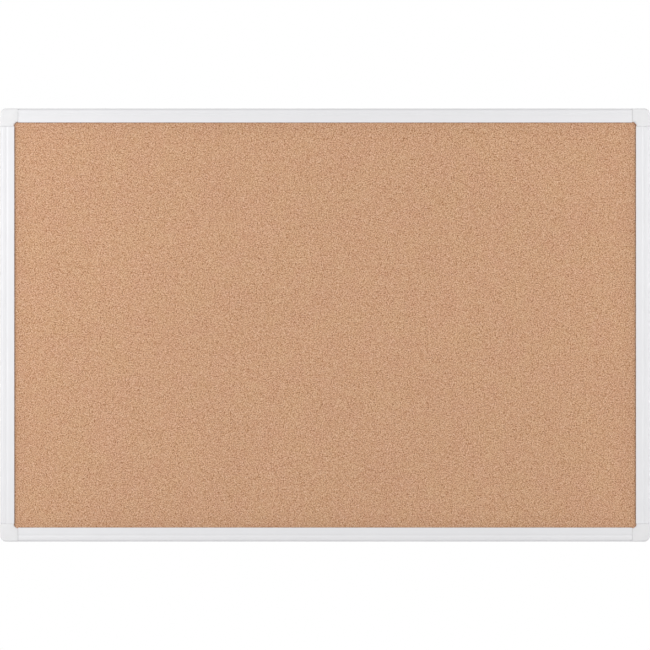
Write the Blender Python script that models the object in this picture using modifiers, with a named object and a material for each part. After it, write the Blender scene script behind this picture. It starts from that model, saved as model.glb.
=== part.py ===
"""Cork notice board in a slim aluminium frame, screwed to a wall through its four corners.

The board is drawn lying on its back: X to the right, Y up its face and Z forward from the
wall. One empty then stands it up, so that the finished board faces -Y, has +Z up and has
the wall at Y = 0. Its origin is the middle of the board's outline on the wall plane.
Lengths are in metres.
"""

import math

import bmesh
import bpy
from mathutils import Matrix

# Overall size of the framed board
BOARD_WIDTH = 0.900
BOARD_HEIGHT = 0.600

# Panel layers, and the glue line left between one layer and the next
CORK_THICK = 0.0020
CORE_THICK = 0.0080
LINER_THICK = 0.0008
GLUE_LINE = 0.0003

# Cork along the frame is squeezed this much thinner by the lips
CORK_NIP = 0.0005

# Clearance between pieces that fit together, and the seam at each rail end
FIT = 0.0003
SEAM = 0.0002

# Frame rails: width of the face, walls, and how far the frame hides the panel's edge
RAIL_FACE = 0.0195
RAIL_WALL = 0.0015
FACE_WALL = 0.0018
LIP_ROOF = 0.0016
LIP_EDGE = 0.0017
REAR_LIP_WALL = 0.0013
PANEL_GRIP = 0.0069
REAR_GRIP = 0.0039
LIP_HEIGHT = 0.0026
OUTER_ROUND = 0.0030
LIP_ROUND = 0.0006
BACK_ROUND = 0.0010

# Shallow groove along each rail's face
GROOVE_FROM_EDGE = 0.0066
GROOVE_WIDTH = 0.0044
GROOVE_FLOOR = 0.0018
GROOVE_DEPTH = 0.00045
GROOVE_ROUND = 0.0012

# Corner covers
CORNER_REACH = 0.0052
CORNER_RADIUS = 0.0080
COVER_SETBACK = 0.0008
COVER_WALL = 0.0016
COVER_PROUD = 0.0005
COVER_PARTING = 0.0060
COVER_ROUND = 0.0020
PEG_DIAMETER = 0.0036
PEG_LENGTH = 0.0080
PEG_CHAMFER = 0.0006

# Corner brackets: tongues for the rails, and the well and hole for the wall screw
TONGUE_LENGTH = 0.0350
TONGUE_CHAMFER = 0.0008
TONGUE_WALL = 0.0015
PAD_INNER_RADIUS = 0.0040
WALL_SCREW_HOLE = 0.0050
WELL_DIAMETER = 0.0090
WELL_WALL = 0.0012
WELL_FLOOR = 0.0050

# Screws that hold the rails on the tongues
SCREW_SHANK = 0.0029
SCREW_LENGTH = 0.0085
SCREW_HEAD = 0.0056
SCREW_HEAD_HEIGHT = 0.0014
SCREW_FROM_END = 0.0140
RECESS_LENGTH = 0.0030
RECESS_WIDTH = 0.0008
RECESS_DEPTH = 0.0008

ARC_STEP = math.radians(15)
ROUND_SIDES = 24
OVERLAP = 0.0010

# Heights forward from the wall, one layer on the next. The corner pads hold the rails far
# enough off the wall for the screw heads to clear it.
standoff = SCREW_HEAD_HEIGHT + 2 * FIT
slot_back = standoff + REAR_LIP_WALL
liner_back = slot_back + FIT
core_back = liner_back + LINER_THICK + GLUE_LINE
cork_back = core_back + CORE_THICK + GLUE_LINE
cork_front = cork_back + CORK_THICK
cork_margin = cork_front - CORK_NIP
lip_under = cork_margin + FIT
rail_front = cork_front + LIP_HEIGHT
slot_front = rail_front - LIP_ROOF
chamber_back = standoff + RAIL_WALL
chamber_front = rail_front - FACE_WALL
cover_front = rail_front + COVER_PROUD
cover_under = cover_front - COVER_WALL
bracket_front = cover_under - FIT

# Distances inward from the board's outer edge
panel_edge = RAIL_FACE - PANEL_GRIP
web_inner = panel_edge - FIT
chamber_inner = web_inner - RAIL_WALL
rear_lip = panel_edge + REAR_GRIP
cork_sight = RAIL_FACE + FIT
corner_size = RAIL_FACE + CORNER_REACH
rail_end = corner_size + SEAM
cover_face = RAIL_FACE - COVER_SETBACK
cover_fillet = corner_size - cover_face
bracket_inset = COVER_WALL + FIT
tongue_outer = max(RAIL_WALL, COVER_WALL) + FIT
tongue_inner = chamber_inner - FIT
tongue_middle = (tongue_outer + tongue_inner) / 2
well_centre = bracket_inset + WELL_WALL + WELL_DIAMETER / 2
peg_across = (bracket_inset + web_inner) / 2
peg_along = (well_centre + WELL_DIAMETER / 2 + corner_size) / 2
screw_along = rail_end + SCREW_FROM_END

for old in list(bpy.data.objects):
    bpy.data.objects.remove(old)

parts = bpy.data.collections.new("cork_notice_board")
cutters = bpy.data.collections.new("cutters")
bpy.context.scene.collection.children.link(parts)
bpy.context.scene.collection.children.link(cutters)


def make_material(name, colour, roughness, metallic=0.0):
    made = bpy.data.materials.new(name)
    made.use_nodes = True
    shader = made.node_tree.nodes["Principled BSDF"]
    shader.inputs["Base Color"].default_value = (*colour, 1.0)
    shader.inputs["Roughness"].default_value = roughness
    shader.inputs["Metallic"].default_value = metallic
    return made


def rounded(corners):
    """Closed outline through (x, y, radius) corners, each one turned into an arc."""
    points = []
    for index, (x, y, radius) in enumerate(corners):
        before = corners[index - 1]
        after = corners[(index + 1) % len(corners)]
        come = math.atan2(y - before[1], x - before[0])
        leave = math.atan2(after[1] - y, after[0] - x)
        turn = (leave - come + math.pi) % (2 * math.pi) - math.pi
        if radius <= 0 or abs(turn) < 1e-6:
            points.append((x, y))
            continue
        side = math.copysign(1.0, turn)
        back = radius * math.tan(abs(turn) / 2)
        centre_x = x - back * math.cos(come) - side * radius * math.sin(come)
        centre_y = y - back * math.sin(come) + side * radius * math.cos(come)
        steps = max(2, round(abs(turn) / ARC_STEP))
        for step in range(steps + 1):
            angle = come + turn * step / steps
            points.append((centre_x + side * radius * math.sin(angle),
                           centre_y - side * radius * math.cos(angle)))
    return [point for index, point in enumerate(points)
            if math.dist(point, points[index - 1]) > 1e-7]


def tidy(mesh):
    shape = bmesh.new()
    shape.from_mesh(mesh)
    bmesh.ops.remove_doubles(shape, verts=shape.verts, dist=1e-6)
    # A cap leaves out a triangle whose corners are in line; close it, then take it out cleanly
    gaps = [edge for edge in shape.edges if edge.is_boundary]
    bmesh.ops.holes_fill(shape, edges=gaps, sides=3)
    bmesh.ops.dissolve_degenerate(shape, dist=1e-7, edges=shape.edges)
    bmesh.ops.recalc_face_normals(shape, faces=shape.faces)
    shape.to_mesh(mesh)
    shape.free()


def helper(name, mesh):
    made = bpy.data.objects.new(name, mesh)
    made.hide_render = True
    made.display_type = "WIRE"
    cutters.objects.link(made)
    return made


def solid_mesh(source):
    """The finished mesh of an object, with its modifiers and place worked in."""
    bpy.context.view_layer.update()
    graph = bpy.context.evaluated_depsgraph_get()
    mesh = bpy.data.meshes.new_from_object(source.evaluated_get(graph))
    mesh.transform(source.matrix_world)
    mesh.name = source.name
    tidy(mesh)
    return mesh


def prism(name, outlines, low, high):
    """Solid between two heights: the first outline is its edge, any others are holes."""
    curve = bpy.data.curves.new(name, "CURVE")
    curve.dimensions = "2D"
    curve.fill_mode = "BOTH"
    curve.extrude = (high - low) / 2
    for outline in outlines:
        spline = curve.splines.new("POLY")
        spline.points.add(len(outline) - 1)
        for point, (x, y) in zip(spline.points, outline):
            point.co = (x, y, 0.0, 1.0)
        spline.use_cyclic_u = True
    drawn = helper(name + "_outline", curve)
    drawn.location.z = (low + high) / 2
    mesh = solid_mesh(drawn)
    bpy.data.objects.remove(drawn)
    return helper(name, mesh)


def block(name, low, high):
    shape = bmesh.new()
    size = [top - bottom for bottom, top in zip(low, high)]
    middle = [(top + bottom) / 2 for bottom, top in zip(low, high)]
    place = Matrix.Translation(middle) @ Matrix.Diagonal((*size, 1.0))
    bmesh.ops.create_cube(shape, size=1.0, matrix=place)
    mesh = bpy.data.meshes.new(name)
    shape.to_mesh(mesh)
    shape.free()
    return helper(name, mesh)


def pin(name, x, y, diameter, low, high):
    shape = bmesh.new()
    place = Matrix.Translation((x, y, (low + high) / 2))
    bmesh.ops.create_cone(shape, cap_ends=True, segments=ROUND_SIDES, radius1=diameter / 2,
                          radius2=diameter / 2, depth=high - low, matrix=place)
    mesh = bpy.data.meshes.new(name)
    shape.to_mesh(mesh)
    shape.free()
    return helper(name, mesh)


def combine(target, other, operation):
    step = target.modifiers.new(operation.lower() + "_" + other.name, "BOOLEAN")
    step.operation = operation
    step.solver = "EXACT"
    step.object = other


def round_edges(target, width, segments, chosen):
    """Bevel the edges that chosen(edge) picks out."""
    shape = bmesh.new()
    shape.from_mesh(target.data)
    bmesh.ops.dissolve_limit(shape, angle_limit=math.radians(1), verts=shape.verts,
                             edges=shape.edges)
    weight = shape.edges.layers.float.new("bevel_weight_edge")
    for edge in shape.edges:
        edge[weight] = 1.0 if chosen(edge) else 0.0
    shape.to_mesh(target.data)
    shape.free()
    step = target.modifiers.new("rounded_edges", "BEVEL")
    step.limit_method = "WEIGHT"
    step.width = width
    step.segments = segments


def place_part(name, mesh, surface, parent):
    mesh.materials.clear()
    mesh.materials.append(surface)
    mesh.shade_smooth()
    mesh.set_sharp_from_angle(angle=math.radians(25))
    made = bpy.data.objects.new(name, mesh)
    made.parent = parent
    parts.objects.link(made)
    return made


cork = make_material("fine_cork", (0.58, 0.34, 0.20), 0.95)
softboard = make_material("fibre_softboard", (0.42, 0.30, 0.19), 0.95)
liner_board = make_material("grey_liner_board", (0.47, 0.45, 0.42), 0.90)
rail_metal = make_material("pale_lacquered_aluminium", (0.80, 0.82, 0.84), 0.38, 0.25)
cover_plastic = make_material("pale_grey_plastic", (0.80, 0.81, 0.82), 0.45)
bracket_plastic = make_material("light_grey_plastic", (0.62, 0.62, 0.63), 0.55)
screw_steel = make_material("zinc_plated_steel", (0.62, 0.62, 0.60), 0.35, 1.0)

stand = bpy.data.objects.new("board_upright", None)
stand.rotation_euler = (math.radians(90), 0.0, 0.0)
parts.objects.link(stand)

# Each side and corner is drawn once, at the bottom and the bottom left, and turned into place
corner_turns = {"bottom_left": 0, "bottom_right": 1, "top_right": 2, "top_left": 3}
corner_empties = {}
for corner, quarters in corner_turns.items():
    empty = bpy.data.objects.new("corner_" + corner, None)
    right = 1 if "right" in corner else -1
    up = 1 if "top" in corner else -1
    empty.location = (right * BOARD_WIDTH / 2, up * BOARD_HEIGHT / 2, 0.0)
    empty.rotation_euler = (0.0, 0.0, math.radians(90 * quarters))
    empty.parent = stand
    parts.objects.link(empty)
    corner_empties[corner] = empty


# Panel: liner, softboard core and cork sheet, one rectangle inside the frame
def panel_outline(inset, radius=0.0):
    x = BOARD_WIDTH / 2 - inset
    y = BOARD_HEIGHT / 2 - inset
    return rounded([(-x, -y, radius), (x, -y, radius), (x, y, radius), (-x, y, radius)])


liner = prism("liner_shape", [panel_outline(panel_edge)], liner_back, liner_back + LINER_THICK)
place_part("back_liner", solid_mesh(liner), liner_board, stand)

core = prism("core_shape", [panel_outline(panel_edge)], core_back, core_back + CORE_THICK)
place_part("softboard_core", solid_mesh(core), softboard, stand)

# The cork's open face stands proud of the margin that the lips squeeze
cork_shape = prism("cork_shape", [panel_outline(panel_edge)], cork_back, cork_margin)
cork_face = prism("cork_face", [panel_outline(cork_sight, corner_size - cork_sight)],
                  cork_back + CORK_THICK / 4, cork_front)
combine(cork_shape, cork_face, "UNION")
place_part("cork_sheet", solid_mesh(cork_shape), cork, stand)

# Screw, drawn at the origin with its seat at height zero and its point forward
half_head = SCREW_HEAD / 2
half_shank = SCREW_SHANK / 2
screw_profile = [(0.0, SCREW_LENGTH),
                 (half_shank * 0.35, SCREW_LENGTH),
                 (half_shank, SCREW_LENGTH - SCREW_SHANK * 0.8),
                 (half_shank, 0.0),
                 (half_head, 0.0),
                 (half_head, -SCREW_HEAD_HEIGHT * 0.45),
                 (half_head * 0.90, -SCREW_HEAD_HEIGHT * 0.80),
                 (half_head * 0.65, -SCREW_HEAD_HEIGHT),
                 (0.0, -SCREW_HEAD_HEIGHT)]
screw_mesh = bpy.data.meshes.new("screw_profile")
screw_mesh.from_pydata([(radius, 0.0, height) for radius, height in screw_profile],
                       [(index, index + 1) for index in range(len(screw_profile) - 1)], [])
screw_shape = helper("screw_shape", screw_mesh)
spin = screw_shape.modifiers.new("turned", "SCREW")
spin.axis = "Z"
spin.steps = ROUND_SIDES
spin.render_steps = ROUND_SIDES
spin.use_merge_vertices = True
spin.merge_threshold = 1e-6
screw_solid = helper("screw_solid", solid_mesh(screw_shape))
recess_reach = (RECESS_LENGTH / 2, RECESS_WIDTH / 2)
for name, (x, y) in {"slot_across": recess_reach, "slot_along": recess_reach[::-1]}.items():
    slot = block(name, (-x, -y, -SCREW_HEAD_HEIGHT - OVERLAP),
                 (x, y, RECESS_DEPTH - SCREW_HEAD_HEIGHT))
    combine(screw_solid, slot, "DIFFERENCE")
screw_seat = standoff - FIT
screw_hole = SCREW_SHANK + 2 * FIT
finished_screw = solid_mesh(screw_solid)
finished_screw.transform(Matrix.Translation((0.0, 0.0, screw_seat)))

# Rails: one section, cut to length, with a screw hole through the back near each end
groove_slope = (GROOVE_WIDTH - GROOVE_FLOOR) / 2
groove_end = GROOVE_FROM_EDGE + GROOVE_WIDTH
groove_low = rail_front - GROOVE_DEPTH
rail_outline = rounded([(0.0, standoff, BACK_ROUND),
                        (rear_lip, standoff, 0.0),
                        (rear_lip, slot_back, 0.0),
                        (web_inner, slot_back, 0.0),
                        (web_inner, slot_front, 0.0),
                        (RAIL_FACE - LIP_EDGE, slot_front, 0.0),
                        (RAIL_FACE - LIP_EDGE, lip_under, 0.0),
                        (RAIL_FACE, lip_under, 0.0),
                        (RAIL_FACE, rail_front, LIP_ROUND),
                        (groove_end, rail_front, GROOVE_ROUND),
                        (groove_end - groove_slope, groove_low, GROOVE_ROUND),
                        (GROOVE_FROM_EDGE + groove_slope, groove_low, GROOVE_ROUND),
                        (GROOVE_FROM_EDGE, rail_front, GROOVE_ROUND),
                        (0.0, rail_front, OUTER_ROUND)])
chamber_outline = [(RAIL_WALL, chamber_back), (chamber_inner, chamber_back),
                   (chamber_inner, chamber_front), (RAIL_WALL, chamber_front)]

# Stands the section on edge, so that its length runs along X and it faces forward
along_x = Matrix.Rotation(math.radians(90), 4, "Z") @ Matrix.Rotation(math.radians(90), 4, "X")
rails = {"bottom": (0, BOARD_WIDTH, BOARD_HEIGHT), "right": (1, BOARD_HEIGHT, BOARD_WIDTH),
         "top": (2, BOARD_WIDTH, BOARD_HEIGHT), "left": (3, BOARD_HEIGHT, BOARD_WIDTH)}
for side, (quarters, length, across) in rails.items():
    half = length / 2 - rail_end
    rail = prism("rail_shape_" + side, [rail_outline, chamber_outline], -half, half)
    rail.data.transform(along_x)
    for end in (-1, 1):
        hole = pin("rail_hole_" + side, end * (length / 2 - screw_along), tongue_middle,
                   screw_hole, standoff - OVERLAP, chamber_back + OVERLAP)
        combine(rail, hole, "DIFFERENCE")
    mesh = solid_mesh(rail)
    mesh.transform(Matrix.Translation((0.0, -across / 2, 0.0)))
    made = place_part("rail_" + side, mesh, rail_metal, stand)
    made.rotation_euler = (0.0, 0.0, math.radians(90 * quarters))


# Corner outlines: the full width of the frame, or the L that leaves the panel's corner free
def corner_l(inset, width, reach, outer_radius, inner_radius):
    return rounded([(inset, inset, max(outer_radius, 0.0)),
                    (reach, inset, 0.0),
                    (reach, width, 0.0),
                    (width, width, max(inner_radius, 0.0)),
                    (width, reach, 0.0),
                    (inset, reach, 0.0)])


# Corner bracket: wall pad, L-shaped wall, two tongues, then the holes
bracket = prism("bracket_pad", [rounded([(0.0, 0.0, CORNER_RADIUS),
                                         (corner_size, 0.0, 0.0),
                                         (corner_size, corner_size, PAD_INNER_RADIUS),
                                         (0.0, corner_size, 0.0)])], 0.0, slot_back)
foot = prism("bracket_foot", [corner_l(0.0, web_inner, corner_size, CORNER_RADIUS, 0.0)],
             slot_back - OVERLAP, COVER_PARTING)
wall = prism("bracket_wall", [corner_l(bracket_inset, web_inner, corner_size,
                                       CORNER_RADIUS - bracket_inset, 0.0)],
             COVER_PARTING - OVERLAP, bracket_front)
combine(bracket, foot, "UNION")
combine(bracket, wall, "UNION")
tongue_low = chamber_back + FIT
tongue_high = chamber_front - FIT
tongue_end = rail_end + TONGUE_LENGTH


def at_tongue_tip(edge):
    return all(max(end.co.x, end.co.y) > tongue_end - 1e-6 for end in edge.verts)


for name, low, high in (("tongue_along_x", (corner_size - 2 * OVERLAP, tongue_outer),
                         (tongue_end, tongue_inner)),
                        ("tongue_along_y", (tongue_outer, corner_size - 2 * OVERLAP),
                         (tongue_inner, tongue_end))):
    tongue = block(name, (*low, tongue_low), (*high, tongue_high))
    round_edges(tongue, TONGUE_CHAMFER, 1, at_tongue_tip)
    combine(bracket, tongue, "UNION")

bracket_cuts = [pin("wall_screw_hole", well_centre, well_centre, WALL_SCREW_HOLE,
                    -OVERLAP, WELL_FLOOR + OVERLAP),
                pin("wall_screw_well", well_centre, well_centre, WELL_DIAMETER,
                    WELL_FLOOR, bracket_front + OVERLAP)]
pin_depth = screw_seat + SCREW_LENGTH + FIT
peg_places = ((peg_along, peg_across), (peg_across, peg_along))
screw_places = ((screw_along, tongue_middle), (tongue_middle, screw_along))
for x, y in peg_places:
    bracket_cuts.append(pin("peg_socket", x, y, PEG_DIAMETER + 2 * FIT,
                            cover_under - PEG_LENGTH - FIT, bracket_front + OVERLAP))
for x, y in screw_places:
    bracket_cuts.append(pin("tongue_hole", x, y, screw_hole, tongue_low - OVERLAP, pin_depth))

# The tongues are cored out from the panel's side, leaving a boss round each screw
boss = screw_hole / 2 + TONGUE_WALL
for start, stop in ((rail_end + TONGUE_WALL, screw_along - boss),
                    (screw_along + boss, tongue_end - TONGUE_CHAMFER - TONGUE_WALL)):
    low = (start, tongue_outer + TONGUE_WALL)
    high = (stop, tongue_inner + OVERLAP)
    for name, step in (("core_along_x", 1), ("core_along_y", -1)):
        bracket_cuts.append(block(name, (*low[::step], tongue_low + TONGUE_WALL),
                                  (*high[::step], tongue_high - TONGUE_WALL)))
for cut in bracket_cuts:
    combine(bracket, cut, "DIFFERENCE")
finished_bracket = solid_mesh(bracket)

# Corner cover: cap with a skirt on the two outer sides, a lip over the cork and two pegs
cover = prism("cover_cap", [corner_l(0.0, cover_face, corner_size, CORNER_RADIUS, cover_fillet)],
              COVER_PARTING + FIT, cover_front)


def on_outer_rim(edge):
    outer = CORNER_RADIUS * (1 - math.sqrt(0.5)) + 1e-6
    return all(end.co.z > cover_front - 1e-6 and min(end.co.x, end.co.y) < outer
               for end in edge.verts)


round_edges(cover, COVER_ROUND, 5, on_outer_rim)
hollow = prism("cover_hollow", [corner_l(COVER_WALL, cover_face - COVER_WALL,
                                         corner_size + OVERLAP, CORNER_RADIUS - COVER_WALL,
                                         cover_fillet + COVER_WALL)],
               COVER_PARTING - OVERLAP, cover_under)
over_panel = block("cover_over_panel", (web_inner, web_inner, COVER_PARTING - OVERLAP),
                   (corner_size + OVERLAP, corner_size + OVERLAP, lip_under))
combine(cover, hollow, "DIFFERENCE")
combine(cover, over_panel, "DIFFERENCE")
peg_tip = cover_under - PEG_LENGTH


def at_peg_tip(edge):
    return all(end.co.z < peg_tip + 1e-6 for end in edge.verts)


for x, y in peg_places:
    peg = pin("cover_peg", x, y, PEG_DIAMETER, peg_tip, cover_under + COVER_WALL / 2)
    round_edges(peg, PEG_CHAMFER, 1, at_peg_tip)
    combine(cover, peg, "UNION")
finished_cover = solid_mesh(cover)

for corner, empty in corner_empties.items():
    place_part("corner_bracket_" + corner, finished_bracket, bracket_plastic, empty)
    place_part("corner_cover_" + corner, finished_cover, cover_plastic, empty)
    # Seen from its corner, the first leg runs along a level side or an upright one
    first_level = corner_turns[corner] % 2 == 0
    for leg, (x, y) in enumerate(screw_places):
        level = first_level == (leg == 0)
        side = corner.split("_")[0] if level else corner.split("_")[1]
        end = corner.split("_")[1] if level else corner.split("_")[0]
        made = place_part("rail_screw_" + side + "_" + end, finished_screw, screw_steel, empty)
        made.location = (x, y, 0.0)
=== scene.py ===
import math

import bmesh
import bpy
from mathutils import Matrix, Vector


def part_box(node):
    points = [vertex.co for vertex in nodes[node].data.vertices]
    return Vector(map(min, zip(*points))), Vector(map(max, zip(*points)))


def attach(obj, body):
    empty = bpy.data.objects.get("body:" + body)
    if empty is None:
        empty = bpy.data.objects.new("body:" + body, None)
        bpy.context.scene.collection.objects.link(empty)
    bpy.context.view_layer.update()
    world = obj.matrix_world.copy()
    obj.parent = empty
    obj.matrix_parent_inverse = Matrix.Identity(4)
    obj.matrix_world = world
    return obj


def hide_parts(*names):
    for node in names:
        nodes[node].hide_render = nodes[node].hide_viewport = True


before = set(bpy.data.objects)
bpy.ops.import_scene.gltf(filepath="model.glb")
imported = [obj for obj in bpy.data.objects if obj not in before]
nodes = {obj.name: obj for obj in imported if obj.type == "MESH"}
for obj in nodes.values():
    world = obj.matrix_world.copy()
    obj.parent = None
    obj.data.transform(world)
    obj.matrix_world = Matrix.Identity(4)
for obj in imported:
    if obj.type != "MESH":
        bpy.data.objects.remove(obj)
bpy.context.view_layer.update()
mm = 0.001

# Where things are, read off the CAD: the board faces -Y with the wall at Y = 0
railLow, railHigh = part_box("rail_bottom")
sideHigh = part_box("rail_left")[1]
coverLow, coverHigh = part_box("corner_cover_bottom_left")
corkLow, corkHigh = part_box("cork_sheet")
screwLow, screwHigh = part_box("rail_screw_bottom_left")
halfWidth = -coverLow.x
halfHeight = -coverLow.z
railFace = railHigh.z - railLow.z
railBack = -railHigh.y
railFront = -railLow.y
coverSize = coverHigh.x - coverLow.x
coverBack = -coverHigh.y
coverFront = -coverLow.y
corkFront = -corkLow.y
panelEdge = halfWidth - corkHigh.x
screwFromCorner = halfWidth + (screwLow.x + screwHigh.x) / 2
screwFromEdge = halfHeight + (screwLow.z + screwHigh.z) / 2
print("sizes read from the frame")

# Pieces are drawn lying on their backs, then stood up against the wall
standUp = Matrix.Rotation(math.radians(90), 4, "X")
asBuilt = Matrix.Identity(4)
samePoint = 0.001 * mm  # points nearer than this are one


def turned(quarters):
    return Matrix.Rotation(math.radians(90 * quarters), 4, "Z")


# Camera straight in front, at a long focal length
cameraLook = {"distance": 4.0, "height": 0.1 * mm, "aside": -0.2 * mm, "lens": 159.9, "sensor": 36.0}
cameraData = bpy.data.cameras.new("boardCamera")
cameraData.lens = cameraLook["lens"]
cameraData.sensor_width = cameraLook["sensor"]
camera = bpy.data.objects.new("boardCamera", cameraData)
camera.location = (cameraLook["aside"], -cameraLook["distance"] - corkFront, cameraLook["height"])
camera.rotation_euler = (math.radians(90), 0.0, 0.0)
bpy.context.scene.collection.objects.link(camera)
bpy.context.scene.camera = camera
bpy.context.scene.view_settings.view_transform = "Standard"


# Materials are built from these few steps
def newMaterial(name):
    made = bpy.data.materials.new(name)
    made.use_nodes = True
    tree = made.node_tree
    tree.nodes.clear()
    shader = tree.nodes.new("ShaderNodeBsdfPrincipled")
    output = tree.nodes.new("ShaderNodeOutputMaterial")
    tree.links.new(shader.outputs["BSDF"], output.inputs["Surface"])
    return made, tree, shader


def plug(tree, socket, value):
    if isinstance(value, bpy.types.NodeSocket):
        tree.links.new(value, socket)
    else:
        socket.default_value = value


def addNode(tree, kind, sockets=None, **settings):
    made = tree.nodes.new("ShaderNode" + kind)
    for key, value in settings.items():
        setattr(made, key, value)
    for key, value in (sockets or {}).items():
        plug(tree, made.inputs[key], value)
    return made


def maths(tree, operation, first, second, third=0.0):
    made = addNode(tree, "Math", {0: first, 1: second, 2: third}, operation=operation)
    return made.outputs["Value"]


def remap(tree, value, span, result):
    made = addNode(tree, "MapRange", {"Value": value, "From Min": span[0], "From Max": span[1],
                                      "To Min": result[0], "To Max": result[1]})
    return made.outputs["Result"]


def ownPlace(tree):
    return addNode(tree, "TexCoord").outputs["Object"]  # a pattern moves with its piece


def noise(tree, place, size, detail=3.0, roughness=0.6, output="Fac"):
    made = addNode(tree, "TexNoise", {"Vector": place, "Scale": 1 / size, "Detail": detail,
                                      "Roughness": roughness})
    return made.outputs[output]


def cells(tree, place, size, **settings):
    return addNode(tree, "TexVoronoi", {"Vector": place, "Scale": 1 / size}, **settings)


# A random number for each cell
def chance(tree, cell, channel):
    return addNode(tree, "SeparateColor", {"Color": cell.outputs["Color"]}).outputs[channel]


# A share of the first, and the rest from the second
def blended(tree, first, second, share):
    rest = maths(tree, "MULTIPLY", second, 1 - share)
    return maths(tree, "MULTIPLY_ADD", first, share, rest)


# A colour times a number
def scaled(tree, colour, amount):
    made = addNode(tree, "VectorMath", {0: colour}, operation="SCALE")
    plug(tree, made.inputs["Scale"], amount)
    return made.outputs["Vector"]


# Places pushed about by a noise, for ragged outlines
def bent(tree, place, size, amount):
    push = noise(tree, place, size, output="Color")
    centred = addNode(tree, "VectorMath", {0: push, 1: (-0.5, -0.5, -0.5)}, operation="ADD")
    made = addNode(tree, "VectorMath", {0: centred.outputs["Vector"], 1: (amount, amount, amount),
                                        2: place}, operation="MULTIPLY_ADD")
    return made.outputs["Vector"]


def colourRamp(tree, value, stops):
    made = addNode(tree, "ValToRGB", {"Fac": value})
    points = made.color_ramp.elements
    while len(points) < len(stops):
        points.new(0.5)
    for point, (place, colour) in zip(points, stops):
        point.position = place
        point.color = (*colour, 1.0)
    return made.outputs["Color"]


def dullToPale(tree, value, span, look):
    return colourRamp(tree, value, [(span[0], look["dull"]), (span[1], look["pale"])])


def addBump(tree, shader, height, strength, depth):
    bump = addNode(tree, "Bump", {"Strength": strength, "Distance": depth, "Height": height})
    plug(tree, shader.inputs["Normal"], bump.outputs["Normal"])


# A closed outline through (x, y, radius) corners, each one turned into an arc
def rounded(corners, arcStep=math.radians(7.5)):
    points = []
    straight = 1e-6  # radians
    for index, (x, y, radius) in enumerate(corners):
        before = corners[index - 1]
        after = corners[(index + 1) % len(corners)]
        come = math.atan2(y - before[1], x - before[0])
        leave = math.atan2(after[1] - y, after[0] - x)
        turn = (leave - come + math.pi) % (2 * math.pi) - math.pi
        if radius <= 0 or abs(turn) < straight:
            points.append((x, y))
            continue
        side = math.copysign(1.0, turn)
        back = radius * math.tan(abs(turn) / 2)
        middleX = x - back * math.cos(come) - side * radius * math.sin(come)
        middleY = y - back * math.sin(come) + side * radius * math.cos(come)
        steps = max(2, round(abs(turn) / arcStep))
        for step in range(steps + 1):
            angle = come + turn * step / steps
            points.append((middleX + side * radius * math.sin(angle),
                           middleY - side * radius * math.cos(angle)))
    return [point for index, point in enumerate(points)
            if math.dist(point, points[index - 1]) > samePoint]


# The mesh of an object with its modifiers or curve settings worked out
def finalMesh(source):
    bpy.context.view_layer.update()
    graph = bpy.context.evaluated_depsgraph_get()
    mesh = bpy.data.meshes.new_from_object(source.evaluated_get(graph))
    shape = bmesh.new()
    shape.from_mesh(mesh)
    bmesh.ops.remove_doubles(shape, verts=shape.verts, dist=samePoint)
    bmesh.ops.recalc_face_normals(shape, faces=shape.faces)
    shape.to_mesh(mesh)
    shape.free()
    return mesh


# Outlines drawn up to a length; the first is the edge, any others are holes, and every
# edge at the two ends is taken off by the chamfer
def drawnUp(name, outlines, length, chamfer=0.0):
    curve = bpy.data.curves.new(name, "CURVE")
    curve.dimensions = "2D"
    curve.fill_mode = "BOTH"
    curve.extrude = length / 2 - chamfer
    curve.bevel_depth = chamfer
    curve.bevel_resolution = 1
    curve.offset = -chamfer
    for outline in outlines:
        spline = curve.splines.new("POLY")
        spline.points.add(len(outline) - 1)
        for point, (x, y) in zip(spline.points, outline):
            point.co = (x, y, 0.0, 1.0)
        spline.use_cyclic_u = True
    drawn = bpy.data.objects.new(name, curve)
    bpy.context.scene.collection.objects.link(drawn)
    mesh = finalMesh(drawn)
    bpy.data.objects.remove(drawn)
    return mesh


# Rings of points, one above the other, skinned and closed at both ends
def skinned(name, rings):
    shape = bmesh.new()
    loops = [[shape.verts.new(point) for point in ring] for ring in rings]
    for lower, upper in zip(loops, loops[1:]):
        for index in range(len(lower)):
            shape.faces.new((lower[index - 1], lower[index], upper[index], upper[index - 1]))
    shape.faces.new(loops[0])
    shape.faces.new(loops[-1])
    bmesh.ops.recalc_face_normals(shape, faces=shape.faces)
    mesh = bpy.data.meshes.new(name)
    shape.to_mesh(mesh)
    shape.free()
    return mesh


# Round bar turned from (radius, height) pairs
def turnedBar(x, y, profile, sides=40):
    angles = [2 * math.pi * step / sides for step in range(sides)]
    return skinned("turnedBar", [[(x + radius * math.cos(angle), y + radius * math.sin(angle), height)
                                  for angle in angles] for radius, height in profile])


# Cuts or joins (mesh, operation) tools, one after the other
def cutOrJoin(mesh, tools):
    target = bpy.data.objects.new("making", mesh)
    bpy.context.scene.collection.objects.link(target)
    helpers = []
    for toolMesh, operation in tools:
        helper = bpy.data.objects.new("tool", toolMesh)
        bpy.context.scene.collection.objects.link(helper)
        step = target.modifiers.new(operation, "BOOLEAN")
        step.operation = operation
        step.solver = "EXACT"
        step.object = helper
        helpers.append(helper)
    made = finalMesh(target)
    for helper in helpers + [target]:
        bpy.data.objects.remove(helper)
    return made


def sharp(edge, sharpAngle=math.radians(40)):
    return edge.is_manifold and edge.calc_face_angle() > sharpAngle


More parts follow.
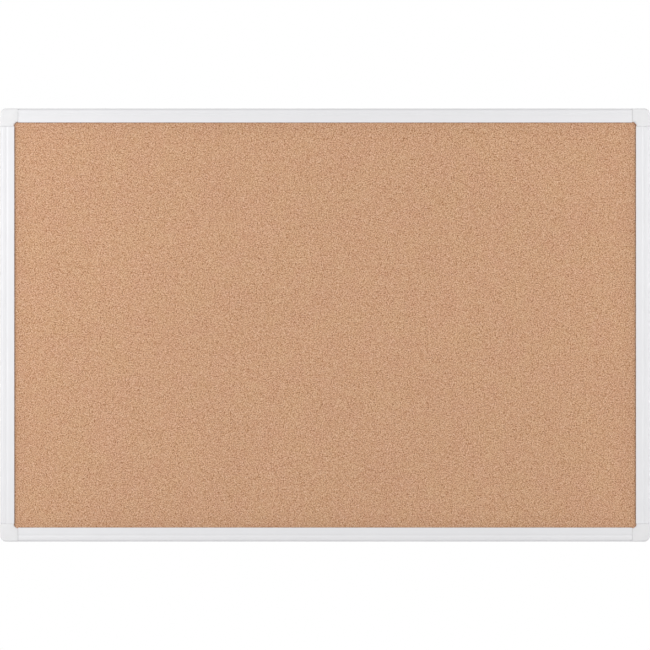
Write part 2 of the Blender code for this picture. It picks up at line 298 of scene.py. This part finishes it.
# A finer copy of a CAD node, with the chosen edges broken by a small round
def brokenEdges(node, width, segments=2, chosen=sharp):
    flatAngle = math.radians(1)
    source = nodes[node].data
    mesh = bpy.data.meshes.new(node + "Fine")
    mesh.from_pydata([vertex.co for vertex in source.vertices], [],
                     [face.vertices for face in source.polygons])
    shape = bmesh.new()
    shape.from_mesh(mesh)
    bmesh.ops.remove_doubles(shape, verts=shape.verts, dist=samePoint)
    bmesh.ops.dissolve_limit(shape, angle_limit=flatAngle, verts=shape.verts, edges=shape.edges)
    bmesh.ops.bevel(shape, geom=[edge for edge in shape.edges if chosen(edge)], offset=width,
                    offset_type="OFFSET", segments=segments, profile=0.5, affect="EDGES",
                    clamp_overlap=True)
    bmesh.ops.recalc_face_normals(shape, faces=shape.faces)
    shape.to_mesh(mesh)
    shape.free()
    return mesh


# Puts a mesh on its body, with smooth curves, crisp edges and flats that stay flat
def placePiece(name, mesh, material, slot, body, place, *replaced):
    creaseAngle = math.radians(32)
    mesh.name = name
    mesh.materials.clear()
    mesh.materials.append(material)
    mesh.shade_smooth()
    mesh.set_sharp_from_angle(angle=creaseAngle)
    piece = bpy.data.objects.new(name, mesh)
    piece.matrix_world = place
    bpy.context.scene.collection.objects.link(piece)
    flats = piece.modifiers.new("flats", "WEIGHTED_NORMAL")
    flats.mode = "FACE_AREA"
    flats.keep_sharp = True
    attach(piece, body)
    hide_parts(*replaced)


# Cork sheet: pressed granules of slightly different browns, with a few dark specks of bark
corkLook = {"grain": 1.7 * mm, "chips": 0.60 * mm, "flakes": 1.5 * mm, "specks": 3.9 * mm,
            "ragged": 1.1 * mm, "tearGrains": 0.45, "toothGrains": 1 / 4.5, "gapeGrains": 1.5,
            "flakePart": 2.5, "flakeDetail": 5.0, "flakeRoughness": 0.7, "middlePart": 0.80,
            "middleBrown": 0.557, "mixed": 0.05, "chipShade": 0.18, "toothShade": 0.06,
            "gapes": (0.02, 0.12), "jointShade": 0.86,
            "speckShare": 0.07, "speckReach": (0.20, 0.34), "speckShade": 0.64,
            "browns": [(0.00, (0.282, 0.122, 0.053)), (0.25, (0.440, 0.210, 0.102)),
                       (0.58, (0.599, 0.338, 0.197)), (0.80, (0.705, 0.450, 0.296)),
                       (1.00, (0.793, 0.564, 0.408))],
            "pink": (1.000, 0.983, 0.998), "yellow": (1.000, 1.015, 0.986), "hueDrift": 32 * mm,
            "drift": 110 * mm, "driftShade": 0.010,
            # painted shade along the rails: how far in it reaches, its darkest value at the lip, and how
            # it fades
            "paintedShadeReach": 24 * mm, "paintedRailShade": 0.90, "paintedShadeFade": 0.4,
            "roughness": (0.82, 0.96), "specular": 0.18,
            "pitWidth": 0.12, "pitDepth": 0.6, "relief": 0.12 * mm, "reliefStrength": 0.30,
            "edgeRound": 0.45 * mm, "edgeSteps": 4}


# Each small chip has one tone: flakes of lighter and darker cork, paler towards a granule's
# middle, and no two granules quite the same brown
def chipTone(tree, chip):
    look = corkLook
    chipPlace = chip.outputs["Position"]
    granule = cells(tree, chipPlace, look["grain"], voronoi_dimensions="2D")
    flake = noise(tree, chipPlace, look["flakes"], look["flakeDetail"], look["flakeRoughness"])
    own = remap(tree, chance(tree, granule, "Red"), (0.0, 1.0), (-look["mixed"], look["mixed"]))
    middle = maths(tree, "MULTIPLY_ADD", granule.outputs["Distance"], -look["middlePart"], own)
    return maths(tree, "MULTIPLY_ADD", flake, look["flakePart"], middle)


# Thin dark joints between the granules, wider here and there
def jointShade(tree, place, joint):
    look = corkLook
    gape = remap(tree, noise(tree, place, look["gapeGrains"] * look["grain"]), (0.4, 0.6), look["gapes"])
    return remap(tree, maths(tree, "DIVIDE", joint, gape), (0.0, 1.0), (look["jointShade"], 1.0))


# Dark specks: only a few cells of a wider pattern, each smaller than its cell
def speckShade(tree, torn):
    look = corkLook
    speck = cells(tree, torn, look["specks"])
    isSpeck = maths(tree, "LESS_THAN", chance(tree, speck, "Blue"), look["speckShare"])
    near = remap(tree, speck.outputs["Distance"], look["speckReach"], (1.0, 0.0))
    return remap(tree, maths(tree, "MULTIPLY", isSpeck, near), (0.0, 1.0), (1.0, look["speckShade"]))


# Painted shade: the cork is darkened along the rails, most at the lips, where the raised frame shades it
def paintedRailShade(tree, place):
    look = corkLook
    across = addNode(tree, "SeparateXYZ", {"Vector": place}).outputs
    fromSide = maths(tree, "SUBTRACT", halfWidth - railFace, maths(tree, "ABSOLUTE", across["X"], 0.0))
    fromEnd = maths(tree, "SUBTRACT", halfHeight - railFace, maths(tree, "ABSOLUTE", across["Z"], 0.0))
    fromRail = maths(tree, "MINIMUM", fromSide, fromEnd)
    inward = remap(tree, fromRail, (0.0, look["paintedShadeReach"]), (0.0, 1.0))
    fade = maths(tree, "POWER", inward, look["paintedShadeFade"])
    return maths(tree, "MULTIPLY_ADD", fade, 1 - look["paintedRailShade"], look["paintedRailShade"])


def corkMaterial():
    look = corkLook
    grain = look["grain"]
    made, tree, shader = newMaterial("fineCork")
    place = ownPlace(tree)
    flat = addNode(tree, "Mapping", {"Vector": place, "Rotation": (math.radians(-90), 0.0, 0.0)})
    torn = bent(tree, flat.outputs["Vector"], look["tearGrains"] * grain, look["ragged"])
    chip = cells(tree, torn, look["chips"], voronoi_dimensions="2D")
    joint = cells(tree, torn, grain, voronoi_dimensions="2D",
                  feature="DISTANCE_TO_EDGE").outputs["Distance"]
    tooth = noise(tree, place, look["toothGrains"] * grain)

    # a darker chip is a browner one, so these shades move along the browns
    shade = remap(tree, tooth, (0.25, 0.75), (1 - look["toothShade"], 1 + look["toothShade"]))
    chipShade = remap(tree, chance(tree, chip, "Green"), (0.0, 1.0),
                      (1 - look["chipShade"], 1 + look["chipShade"]))
    for other in (chipShade, jointShade(tree, place, joint), speckShade(tree, torn)):
        shade = maths(tree, "MULTIPLY", shade, other)
    meanNoise, meanDistance, meanShade = 0.5, 0.45, 1.0
    usual = meanNoise * look["flakePart"] - meanDistance * look["middlePart"] + meanShade
    level = maths(tree, "ADD", chipTone(tree, chip), shade)
    brown = colourRamp(tree, maths(tree, "ADD", level, look["middleBrown"] - usual), look["browns"])

    # the whole sheet drifts slowly between two hues, and a little in shade
    hue = colourRamp(tree, noise(tree, place, look["hueDrift"]),
                     [(0.35, look["pink"]), (0.65, look["yellow"])])
    tinted = addNode(tree, "VectorMath", {0: brown, 1: hue}, operation="MULTIPLY").outputs["Vector"]
    drift = remap(tree, noise(tree, place, look["drift"], detail=2.0), (0.3, 0.7),
                  (1 - look["driftShade"], 1 + look["driftShade"]))
    # the slow drift is random tone; the darkening along the rails multiplied in here is painted shade
    driftAndPaintedShade = maths(tree, "MULTIPLY", drift, paintedRailShade(tree, place))
    plug(tree, shader.inputs["Base Color"], scaled(tree, tinted, driftAndPaintedShade))
    plug(tree, shader.inputs["Roughness"], remap(tree, tooth, (0.2, 0.8), look["roughness"]))
    shader.inputs["Specular IOR Level"].default_value = look["specular"]
    pits = remap(tree, joint, (0.0, look["pitWidth"]), (0.0, look["pitDepth"]))
    addBump(tree, shader, maths(tree, "ADD", pits, tooth), look["reliefStrength"], look["relief"])
    return made


def corkRim(edge):
    return sharp(edge) and all(end.co.y < samePoint - corkFront for end in edge.verts)


corkFace = brokenEdges("cork_sheet", corkLook["edgeRound"], corkLook["edgeSteps"], corkRim)
placePiece("corkFace", corkFace, corkMaterial(), "cork", "board", asBuilt, "cork_sheet")
print("cork sheet finished")


# Pressed boards behind the cork: fibres lying every way, with a few darker flecks
linerLook = {"pale": (0.50, 0.485, 0.455), "dull": (0.385, 0.370, 0.345), "fibre": 0.9 * mm,
             "fleckShare": 0.12, "fleckShade": 0.74}
coreLook = {"pale": (0.46, 0.33, 0.21), "dull": (0.32, 0.22, 0.13), "fibre": 1.5 * mm,
            "fleckShare": 0.10, "fleckShade": 0.72}
fibreLook = {"lays": (12, 57, 102, 147), "stretch": 5.0, "fibrePart": 0.60,
             "clouds": 45 * mm, "cloudPart": 0.30, "gritSize": 0.4, "gritPart": 0.25, "span": (0.50, 0.74),
             "tears": 2.0 * mm, "ragged": 1.6 * mm, "flecksPerMetre": 190.0, "fleckReach": (0.10, 0.18),
             "roughness": (0.96, 0.86), "specular": 0.2, "relief": 0.12 * mm, "reliefStrength": 0.4}


def fleckShade(tree, place, look):
    torn = bent(tree, place, fibreLook["tears"], fibreLook["ragged"])
    fleck = cells(tree, torn, 1 / fibreLook["flecksPerMetre"])
    isFleck = maths(tree, "LESS_THAN", chance(tree, fleck, "Red"), look["fleckShare"])
    small = maths(tree, "MULTIPLY_ADD", chance(tree, fleck, "Green"), 2.0, 1.0)  # up to a third the size
    away = maths(tree, "MULTIPLY", fleck.outputs["Distance"], small)
    near = remap(tree, away, fibreLook["fleckReach"], (1.0, 0.0))
    return remap(tree, maths(tree, "MULTIPLY", isFleck, near), (0.0, 1.0), (1.0, look["fleckShade"]))


def pressedMaterial(name, look):
    made, tree, shader = newMaterial(name)
    place = ownPlace(tree)
    fibres = 0.0
    for degrees in fibreLook["lays"]:
        laid = addNode(tree, "Mapping", {"Vector": place, "Rotation": (0.0, math.radians(degrees), 0.0),
                                         "Scale": (fibreLook["stretch"], 1.0, 1.0)}, vector_type="TEXTURE")
        lay = noise(tree, laid.outputs["Vector"], look["fibre"], detail=2.0)
        fibres = maths(tree, "MAXIMUM", lay, fibres)
    grit = maths(tree, "MULTIPLY", noise(tree, place, fibreLook["gritSize"] * look["fibre"]),
                 fibreLook["gritPart"])
    cloud = noise(tree, place, fibreLook["clouds"])
    uneven = maths(tree, "MULTIPLY_ADD", cloud, fibreLook["cloudPart"], grit)
    mixed = maths(tree, "MULTIPLY_ADD", fibres, fibreLook["fibrePart"], uneven)
    tint = dullToPale(tree, mixed, fibreLook["span"], look)
    plug(tree, shader.inputs["Base Color"], scaled(tree, tint, fleckShade(tree, place, look)))
    plug(tree, shader.inputs["Roughness"], remap(tree, mixed, fibreLook["span"], fibreLook["roughness"]))
    shader.inputs["Specular IOR Level"].default_value = fibreLook["specular"]
    addBump(tree, shader, mixed, fibreLook["reliefStrength"], fibreLook["relief"])
    return made


for node, material in (("back_liner", pressedMaterial("greyLinerBoard", linerLook)),
                       ("softboard_core", pressedMaterial("fibreSoftboard", coreLook))):
    nodes[node].data.materials.clear()
    nodes[node].data.materials.append(material)
print("liner and softboard finished")


# Rails: one drawn section with a round outer edge, a shallow groove and a lip over the cork,
# in a pale satin finish that runs along each rail's own X
railLook = {"wall": 1.5 * mm, "faceWall": 1.8 * mm, "rearLipWall": 1.3 * mm, "rearGrip": 3.9 * mm,
            "lipRoof": 1.6 * mm, "lipEdge": 1.7 * mm, "lipUnder": 2.8 * mm, "fit": 0.3 * mm,
            "outerRound": 4.0 * mm, "lipRound": 0.6 * mm, "backRound": 1.0 * mm, "edgeRound": 0.25 * mm,
            "grooveFromEdge": 6.6 * mm, "grooveWidth": 4.4 * mm, "grooveFloor": 1.8 * mm,
            "grooveDepth": 0.45 * mm, "grooveRound": 1.2 * mm, "endChamfer": 0.15 * mm,
            "screwHole": 3.5 * mm,
            "pale": (0.806, 0.803, 0.818), "dull": (0.771, 0.768, 0.784), "roughness": (0.55, 0.45),
            "metallic": 0.05, "specular": 0.32, "lines": 0.55 * mm, "lineStretch": 0.012,
            "lineRoughness": 0.65, "linePart": 0.6, "clouds": 38 * mm, "grit": 0.42 * mm, "gritPart": 0.25,
            "relief": 0.020 * mm, "reliefStrength": 0.5}


def railMaterial():
    look = railLook
    made, tree, shader = newMaterial("satinRail")
    place = ownPlace(tree)
    drawn = addNode(tree, "Mapping", {"Vector": place, "Scale": (look["lineStretch"], 1.0, 1.0)})
    lines = noise(tree, drawn.outputs["Vector"], look["lines"], roughness=look["lineRoughness"])
    grit = noise(tree, place, look["grit"], detail=2.0)
    mixed = blended(tree, lines, noise(tree, place, look["clouds"]), look["linePart"])
    plug(tree, shader.inputs["Base Color"], dullToPale(tree, mixed, (0.3, 0.7), look))
    plug(tree, shader.inputs["Roughness"], remap(tree, mixed, (0.3, 0.7), look["roughness"]))
    shader.inputs["Metallic"].default_value = look["metallic"]
    shader.inputs["Specular IOR Level"].default_value = look["specular"]
    height = maths(tree, "MULTIPLY_ADD", grit, look["gritPart"], lines)
    addBump(tree, shader, height, look["reliefStrength"], look["relief"])
    return made


# The section goes round from the outer back corner: rear lip, slot for the panel, front lip, groove
def railSection():
    look = railLook
    slope = (look["grooveWidth"] - look["grooveFloor"]) / 2
    grooveStart = look["grooveFromEdge"]
    grooveEnd = grooveStart + look["grooveWidth"]
    grooveLow = railFront - look["grooveDepth"]
    webInner = panelEdge - look["fit"]
    rearLip = panelEdge + look["rearGrip"]
    slotBack = railBack + look["rearLipWall"]
    slotFront = railFront - look["lipRoof"]
    lipUnder = railFront - look["lipUnder"]
    outer = rounded([(0.0, railBack, look["backRound"]),
                     (rearLip, railBack, look["edgeRound"]),
                     (rearLip, slotBack, look["edgeRound"]),
                     (webInner, slotBack, 0.0),
                     (webInner, slotFront, 0.0),
                     (railFace - look["lipEdge"], slotFront, 0.0),
                     (railFace - look["lipEdge"], lipUnder, look["edgeRound"]),
                     (railFace, lipUnder, look["edgeRound"]),
                     (railFace, railFront, look["lipRound"]),
                     (grooveEnd, railFront, look["grooveRound"]),
                     (grooveEnd - slope, grooveLow, look["grooveRound"]),
                     (grooveStart + slope, grooveLow, look["grooveRound"]),
                     (grooveStart, railFront, look["grooveRound"]),
                     (0.0, railFront, look["outerRound"])])
    low = railBack + look["wall"]
    high = railFront - look["faceWall"]
    inner = webInner - look["wall"]
    chamber = [(look["wall"], low), (look["wall"], high), (inner, high), (inner, low)]
    return [outer, chamber]


# The rail is drawn up its length, laid along X, and drilled through the back near each end
def railMesh(halfRail, halfBoard):
    look = railLook
    mesh = drawnUp("railSection", railSection(), 2 * halfRail, look["endChamfer"])
    mesh.transform(turned(1) @ standUp)
    drills = []
    for end in (-1, 1):
        drill = turnedBar(end * (halfBoard - screwFromCorner), screwFromEdge,
                          [(look["screwHole"] / 2, railBack - look["wall"]),
                           (look["screwHole"] / 2, railBack + 2 * look["wall"])])
        drills.append((drill, "DIFFERENCE"))
    return cutOrJoin(mesh, drills)


satin = railMaterial()
for quarters, side in enumerate(("bottom", "right", "top", "left")):
    upright = side in ("right", "left")
    halfRail = sideHigh.z if upright else railHigh.x
    halfBoard, outward = (halfHeight, halfWidth) if upright else (halfWidth, halfHeight)
    place = standUp @ turned(quarters) @ Matrix.Translation((0.0, -outward, 0.0))
    placePiece("satinRail_" + side, railMesh(halfRail, halfBoard), satin, "rail", "board", place,
               "rail_" + side)
print("rails drawn and drilled")


# Moulded plastic: a fine spark-eroded texture, slightly uneven colour
mouldLook = {"clouds": 11 * mm, "texturePart": 0.35, "roughSpread": 0.06, "reliefStrength": 0.35}


def mouldedMaterial(name, look):
    made, tree, shader = newMaterial(name)
    place = ownPlace(tree)
    texture = noise(tree, place, look["texture"])
    mixed = blended(tree, texture, noise(tree, place, mouldLook["clouds"]), mouldLook["texturePart"])
    smoother = look["roughness"] - mouldLook["roughSpread"]
    rougher = look["roughness"] + mouldLook["roughSpread"]
    plug(tree, shader.inputs["Base Color"], dullToPale(tree, mixed, (0.32, 0.68), look))
    plug(tree, shader.inputs["Roughness"], remap(tree, texture, (0.3, 0.7), (smoother, rougher)))
    shader.inputs["Specular IOR Level"].default_value = look["specular"]
    addBump(tree, shader, texture, mouldLook["reliefStrength"], look["textureDepth"])
    return made


# Corner covers: a softly rounded cap over both rail ends, hollow behind, held by two pegs
coverLook = {"radius": 8.0 * mm, "setback": 0.8 * mm, "softEdge": 2.6 * mm, "seamEdge": 0.38 * mm,
             "seamSlope": 4.5 * mm, "seamDrop": 0.48 * mm,
             "cornerSteps": 12, "filletSteps": 16, "edgeSteps": 10,
             "wall": 1.6 * mm, "skirtChamfer": 0.25 * mm, "lipUnder": 3.3 * mm,
             "pegAlong": 18.4 * mm, "pegAcross": 7.1 * mm, "peg": 3.6 * mm, "pegLength": 8.0 * mm,
             "pegChamfer": 0.6 * mm,
             "pale": (0.812, 0.809, 0.817), "dull": (0.778, 0.775, 0.783), "roughness": 0.52,
             "specular": 0.35, "texture": 0.45 * mm, "textureDepth": 0.03 * mm}


# The cover's outline at one height, drawn in by one amount round the open sides and by
# another at the two seams
def coverRing(inset, atSeam, height):
    size, radius = coverSize, coverLook["radius"]
    cornerSteps, filletSteps = coverLook["cornerSteps"], coverLook["filletSteps"]
    fillet = size - (railFace - coverLook["setback"]) + inset
    ring = []
    for step in range(cornerSteps + 1):
        angle = math.pi + math.pi / 2 * step / cornerSteps
        ring.append((radius + (radius - inset) * math.cos(angle),
                     radius + (radius - inset) * math.sin(angle)))
    ring.append((size - atSeam, inset))
    start = math.asin(atSeam / fillet)
    for step in range(filletSteps + 1):
        angle = start + (math.pi / 2 - 2 * start) * step / filletSteps
        ring.append((size - fillet * math.sin(angle), size - fillet * math.cos(angle)))
    ring.append((inset, size - atSeam))
    return [(x, y, height) for x, y in ring]


# How far a quarter round is drawn in, at a depth below its top
def roundInset(radius, depth):
    up = max(0.0, 1 - depth / radius)
    return radius * (1 - math.sqrt(1 - up * up))


# At a seam the face slopes gently down to the rail and ends in a small round
def seamInset(depth):
    slope, drop, edge = coverLook["seamSlope"], coverLook["seamDrop"], coverLook["seamEdge"]
    if depth < drop:
        return edge + slope * (1 - math.sqrt(depth / drop))
    return roundInset(edge, depth - drop)


def coverCap():
    look = coverLook
    soft, drop, edge, chamfer = look["softEdge"], look["seamDrop"], look["seamEdge"], look["skirtChamfer"]
    rings = [coverRing(chamfer, chamfer, coverBack), coverRing(0.0, 0.0, coverBack + chamfer)]
    edgeSteps = look["edgeSteps"]
    depths = [soft * (1 - math.sin(math.pi / 2 * step / edgeSteps)) for step in range(edgeSteps + 1)]
    depths += [drop, drop + 0.3 * edge, drop + edge]  # the small round at the seam
    for depth in sorted(depths, reverse=True):
        rings.append(coverRing(roundInset(soft, depth), seamInset(depth), coverFront - depth))
    return skinned("coverCap", rings)


# The cap is hollowed, cleared where it passes over the panel, and given its pegs
def coverMesh():
    look = coverLook
    wall = look["wall"]
    face = railFace - look["setback"]
    reach = coverSize + wall
    under = coverFront - wall
    hollow = rounded([(wall, wall, look["radius"] - wall), (reach, wall, 0.0),
                      (reach, face - wall, 0.0),
                      (face - wall, face - wall, coverSize - face + wall),
                      (face - wall, reach, 0.0), (wall, reach, 0.0)])
    hollowMesh = drawnUp("coverHollow", [hollow], under - coverBack + wall)
    hollowMesh.transform(Matrix.Translation((0.0, 0.0, (under + coverBack - wall) / 2)))
    web = panelEdge - railLook["fit"]
    low, high = coverBack - wall, coverFront - look["lipUnder"]
    square = [(web, web), (reach, web), (reach, reach), (web, reach)]
    overPanel = skinned("overPanel", [[(x, y, height) for x, y in square] for height in (low, high)])
    tools = [(hollowMesh, "DIFFERENCE"), (overPanel, "DIFFERENCE")]
    radius = look["peg"] / 2
    tip = under - look["pegLength"]
    for x, y in ((look["pegAlong"], look["pegAcross"]), (look["pegAcross"], look["pegAlong"])):
        peg = turnedBar(x, y, [(radius - look["pegChamfer"], tip), (radius, tip + look["pegChamfer"]),
                               (radius, under + wall / 2)])
        tools.append((peg, "UNION"))
    return cutOrJoin(coverCap(), tools)


coverPlastic = mouldedMaterial("paleCoverPlastic", coverLook)
finishedCover = coverMesh()
corners = ("bottom_left", "bottom_right", "top_right", "top_left")
for quarters, corner in enumerate(corners):
    right = 1 if "right" in corner else -1
    up = 1 if "top" in corner else -1
    place = standUp @ Matrix.Translation((right * halfWidth, up * halfHeight, 0.0)) @ turned(quarters)
    placePiece("cornerCover_" + corner, finishedCover.copy(), coverPlastic, "cover", "cover_" + corner,
               place, "corner_cover_" + corner)
print("corner covers moulded")


# Corner brackets under the covers, in a greyer plastic
bracketLook = {"edgeRound": 0.25 * mm, "pale": (0.66, 0.665, 0.67), "dull": (0.58, 0.585, 0.59),
               "roughness": 0.58, "specular": 0.40, "texture": 0.5 * mm, "textureDepth": 0.04 * mm}
bracketPlastic = mouldedMaterial("greyBracketPlastic", bracketLook)
for corner in corners:
    node = "corner_bracket_" + corner
    placePiece("bracket_" + corner, brokenEdges(node, bracketLook["edgeRound"]), bracketPlastic,
               "bracket", "board", asBuilt, node)
print("brackets moulded")


# Rail screws: zinc-plated steel, a little cloudy
screwLook = {"edgeRound": 0.08 * mm, "pale": (0.70, 0.70, 0.68), "dull": (0.50, 0.50, 0.49),
             "roughness": (0.42, 0.28), "clouds": 1.4 * mm, "cloudDetail": 4.0,
             "relief": 0.02 * mm, "reliefStrength": 0.2}


def screwMaterial():
    look = screwLook
    made, tree, shader = newMaterial("zincScrew")
    cloud = noise(tree, ownPlace(tree), look["clouds"], look["cloudDetail"])
    plug(tree, shader.inputs["Base Color"], dullToPale(tree, cloud, (0.3, 0.7), look))
    plug(tree, shader.inputs["Roughness"], remap(tree, cloud, (0.3, 0.7), look["roughness"]))
    shader.inputs["Metallic"].default_value = 1.0
    addBump(tree, shader, cloud, look["reliefStrength"], look["relief"])
    return made


zinc = screwMaterial()
for node in [name for name in nodes if name.startswith("rail_screw_")]:
    placePiece(node.replace("rail_screw", "screw"), brokenEdges(node, screwLook["edgeRound"]), zinc,
               "screw", "board", asBuilt, node)
print("screws finished")


# Studio: white background, pale floor far below the board, soft lamps in front and behind
studioLook = {"ambient": 0.385, "lampWidth": 1.0, "lampHeight": 1.2,
              "lamps": {"keyLeft": ((-1.45, -1.30, 0.37), 20.6), "fillRight": ((1.45, -1.30, 0.36), 13.6),
                        "grazeRight": ((1.90, -0.55, 0.25), 4.2),
                        "rearLeft": ((-0.90, 2.40, 0.15), 22.0), "rearRight": ((0.90, 2.40, 0.15), 22.0)}}
floorLook = {"height": -1.4, "size": 12.0, "pale": (0.80, 0.80, 0.80), "dull": (0.77, 0.77, 0.77),
             "clouds": 6.0, "roughness": 0.8, "whiteness": 0.62}
white = (1.0, 1.0, 1.0, 1.0)


# One for rays that see the background straight, in a gloss or through glass
def seenRay(tree):
    path = addNode(tree, "LightPath")
    seen = maths(tree, "MAXIMUM", path.outputs["Is Camera Ray"], path.outputs["Is Glossy Ray"])
    return maths(tree, "MAXIMUM", seen, path.outputs["Is Transmission Ray"])


def softLamp(name, place, power):
    data = bpy.data.lights.new(name, "AREA")
    data.shape = "RECTANGLE"
    data.size = studioLook["lampWidth"]
    data.size_y = studioLook["lampHeight"]
    data.energy = power
    lamp = bpy.data.objects.new(name, data)
    lamp.location = place
    lamp.rotation_euler = (-Vector(place)).to_track_quat("-Z", "Y").to_euler()
    bpy.context.scene.collection.objects.link(lamp)


half = floorLook["size"] / 2
floorMesh = bpy.data.meshes.new("studioFloor")
floorMesh.from_pydata([(-half, -half, 0.0), (half, -half, 0.0), (half, half, 0.0), (-half, half, 0.0)],
                      [], [(0, 1, 2, 3)])
floor = bpy.data.objects.new("studioFloor", floorMesh)
floor.location = (0.0, 0.0, floorLook["height"])
bpy.context.scene.collection.objects.link(floor)
floorPaint, floorTree, floorShader = newMaterial("paleFloor")
floorCloud = addNode(floorTree, "TexNoise", {"Scale": floorLook["clouds"], "Detail": 3.0}).outputs["Fac"]
plug(floorTree, floorShader.inputs["Base Color"], dullToPale(floorTree, floorCloud, (0.3, 0.7), floorLook))
floorShader.inputs["Roughness"].default_value = floorLook["roughness"]
floorShader.inputs["Emission Color"].default_value = white
plug(floorTree, floorShader.inputs["Emission Strength"],
     maths(floorTree, "MULTIPLY", seenRay(floorTree), floorLook["whiteness"]))
# clear from below, so that the board can be looked at from there too
below = addNode(floorTree, "NewGeometry").outputs["Backfacing"]
clear = addNode(floorTree, "BsdfTransparent").outputs["BSDF"]
oneSided = addNode(floorTree, "MixShader", {0: below, 1: floorShader.outputs["BSDF"], 2: clear})
plug(floorTree, floorTree.nodes["Material Output"].inputs["Surface"], oneSided.outputs["Shader"])
floorMesh.materials.append(floorPaint)

world = bpy.data.worlds.new("studioWorld")
world.use_nodes = True
bpy.context.scene.world = world
sky = world.node_tree
sky.nodes.clear()
brightness = remap(sky, seenRay(sky), (0.0, 1.0), (studioLook["ambient"], 1.0))
glow = addNode(sky, "Background", {"Color": white, "Strength": brightness})
skyOut = addNode(sky, "OutputWorld")
sky.links.new(glow.outputs["Background"], skyOut.inputs["Surface"])

for name, (place, power) in studioLook["lamps"].items():
    softLamp(name, place, power)
print("studio set")
